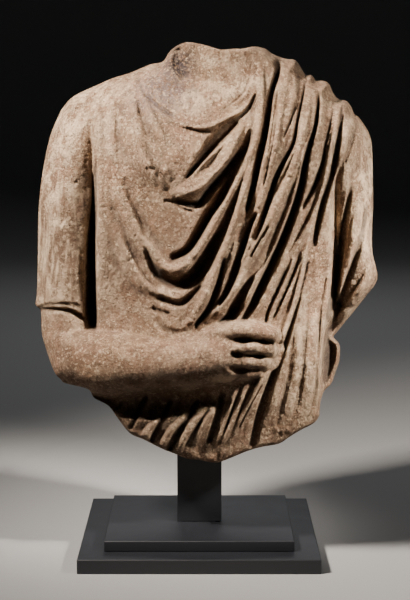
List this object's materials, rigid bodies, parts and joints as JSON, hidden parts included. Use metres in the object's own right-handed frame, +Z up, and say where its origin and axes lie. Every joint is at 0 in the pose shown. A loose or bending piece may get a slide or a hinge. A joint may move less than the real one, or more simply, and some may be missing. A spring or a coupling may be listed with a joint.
{
  "type": "draped male torso sculpture on a stand",
  "caption": "Weathered stone torso of a standing man in a draped mantle, one forearm across the belly, held up by a dark metal post on stepped plates.",
  "frame": {"origin": "centre of the lower plate's underside, on the floor under the post", "axes": "+Z up, the torso faces -Y, +X to the viewer's right"},
  "size_m": [0.4946, 0.3119, 0.7322],
  "materials": {
    "stone": "weathered, granular, matt",
    "stand_paint": "black, satin"
  },
  "bodies": {
    "root": {"torso": "stone", "stand_post": "stand_paint", "stand_upper_plate": "stand_paint", "stand_lower_plate": "stand_paint"}
  },
  "joints": []
}
